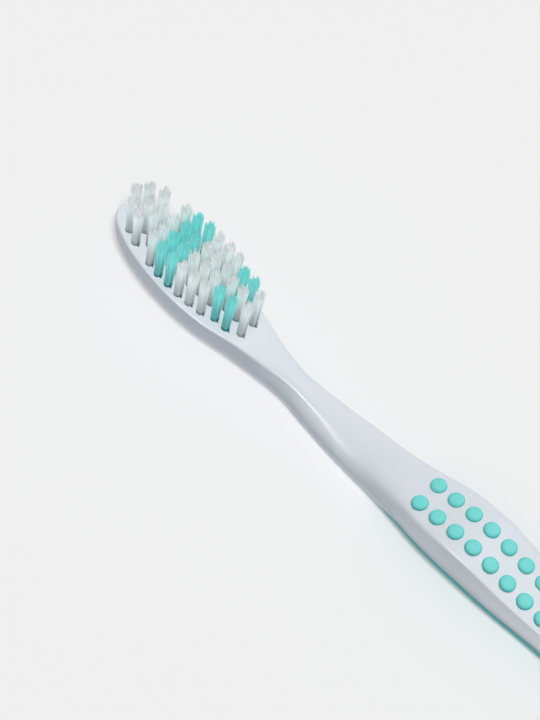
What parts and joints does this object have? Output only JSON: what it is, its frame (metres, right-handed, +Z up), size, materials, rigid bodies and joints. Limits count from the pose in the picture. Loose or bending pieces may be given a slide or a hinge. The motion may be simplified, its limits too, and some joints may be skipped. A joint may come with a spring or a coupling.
{
  "type": "toothbrush",
  "caption": "Manual toothbrush with a long oval head of white and teal nylon tufts, a slim neck and a contoured white handle with a teal soft grip and two rows of round pads.",
  "frame": {"origin": "centre of the bounding box's footprint, on the surface that the brush lies on", "axes": "+X from the tip of the head to the end of the handle, +Y across the brush, +Z up, out of the bristles"},
  "size_m": [0.19, 0.0146, 0.023],
  "materials": {
    "handle_plastic": "white polypropylene, smooth with a soft gloss",
    "grip_rubber": "teal thermoplastic elastomer, satin",
    "nylon_white": "milky translucent nylon filament",
    "nylon_teal": "translucent teal nylon filament",
    "anchor_metal": "plain nickel silver"
  },
  "bodies": {
    "root": {"handle": "handle_plastic", "soft_grip": "grip_rubber", "tuft_anchors": "anchor_metal", "tip_tuft_1": "nylon_white", "tip_tuft_2": "nylon_white", "tip_tuft_3": "nylon_white", "tip_tuft_4": "nylon_white", "tip_tuft_5": "nylon_white", "tip_tuft_6": "nylon_white", "tip_tuft_7": "nylon_white", "tip_tuft_8": "nylon_white", "row_1_tuft_1": "nylon_white", "row_1_tuft_2": "nylon_white", "row_1_tuft_3": "nylon_white", "row_1_tuft_4": "nylon_white", "row_2_tuft_1": "nylon_teal", "row_2_tuft_2": "nylon_teal", "row_2_tuft_3": "nylon_teal", "row_2_tuft_4": "nylon_teal", "row_3_tuft_1": "nylon_teal", "row_3_tuft_2": "nylon_teal", "row_3_tuft_3": "nylon_teal", "row_3_tuft_4": "nylon_teal", "row_4_tuft_1": "nylon_white", "row_4_tuft_2": "nylon_white", "row_4_tuft_3": "nylon_white", "row_4_tuft_4": "nylon_white", "row_5_tuft_1": "nylon_white", "row_5_tuft_2": "nylon_white", "row_5_tuft_3": "nylon_white", "row_5_tuft_4": "nylon_white", "row_6_tuft_1": "nylon_white", "row_6_tuft_2": "nylon_white", "row_6_tuft_3": "nylon_white", "row_6_tuft_4": "nylon_white", "row_7_tuft_1": "nylon_teal", "row_7_tuft_2": "nylon_white", "row_7_tuft_3": "nylon_teal", "row_8_tuft_1": "nylon_teal", "row_8_tuft_2": "nylon_white", "row_8_tuft_3": "nylon_teal", "row_9_tuft_1": "nylon_white", "row_9_tuft_2": "nylon_white"}
  },
  "joints": []
}
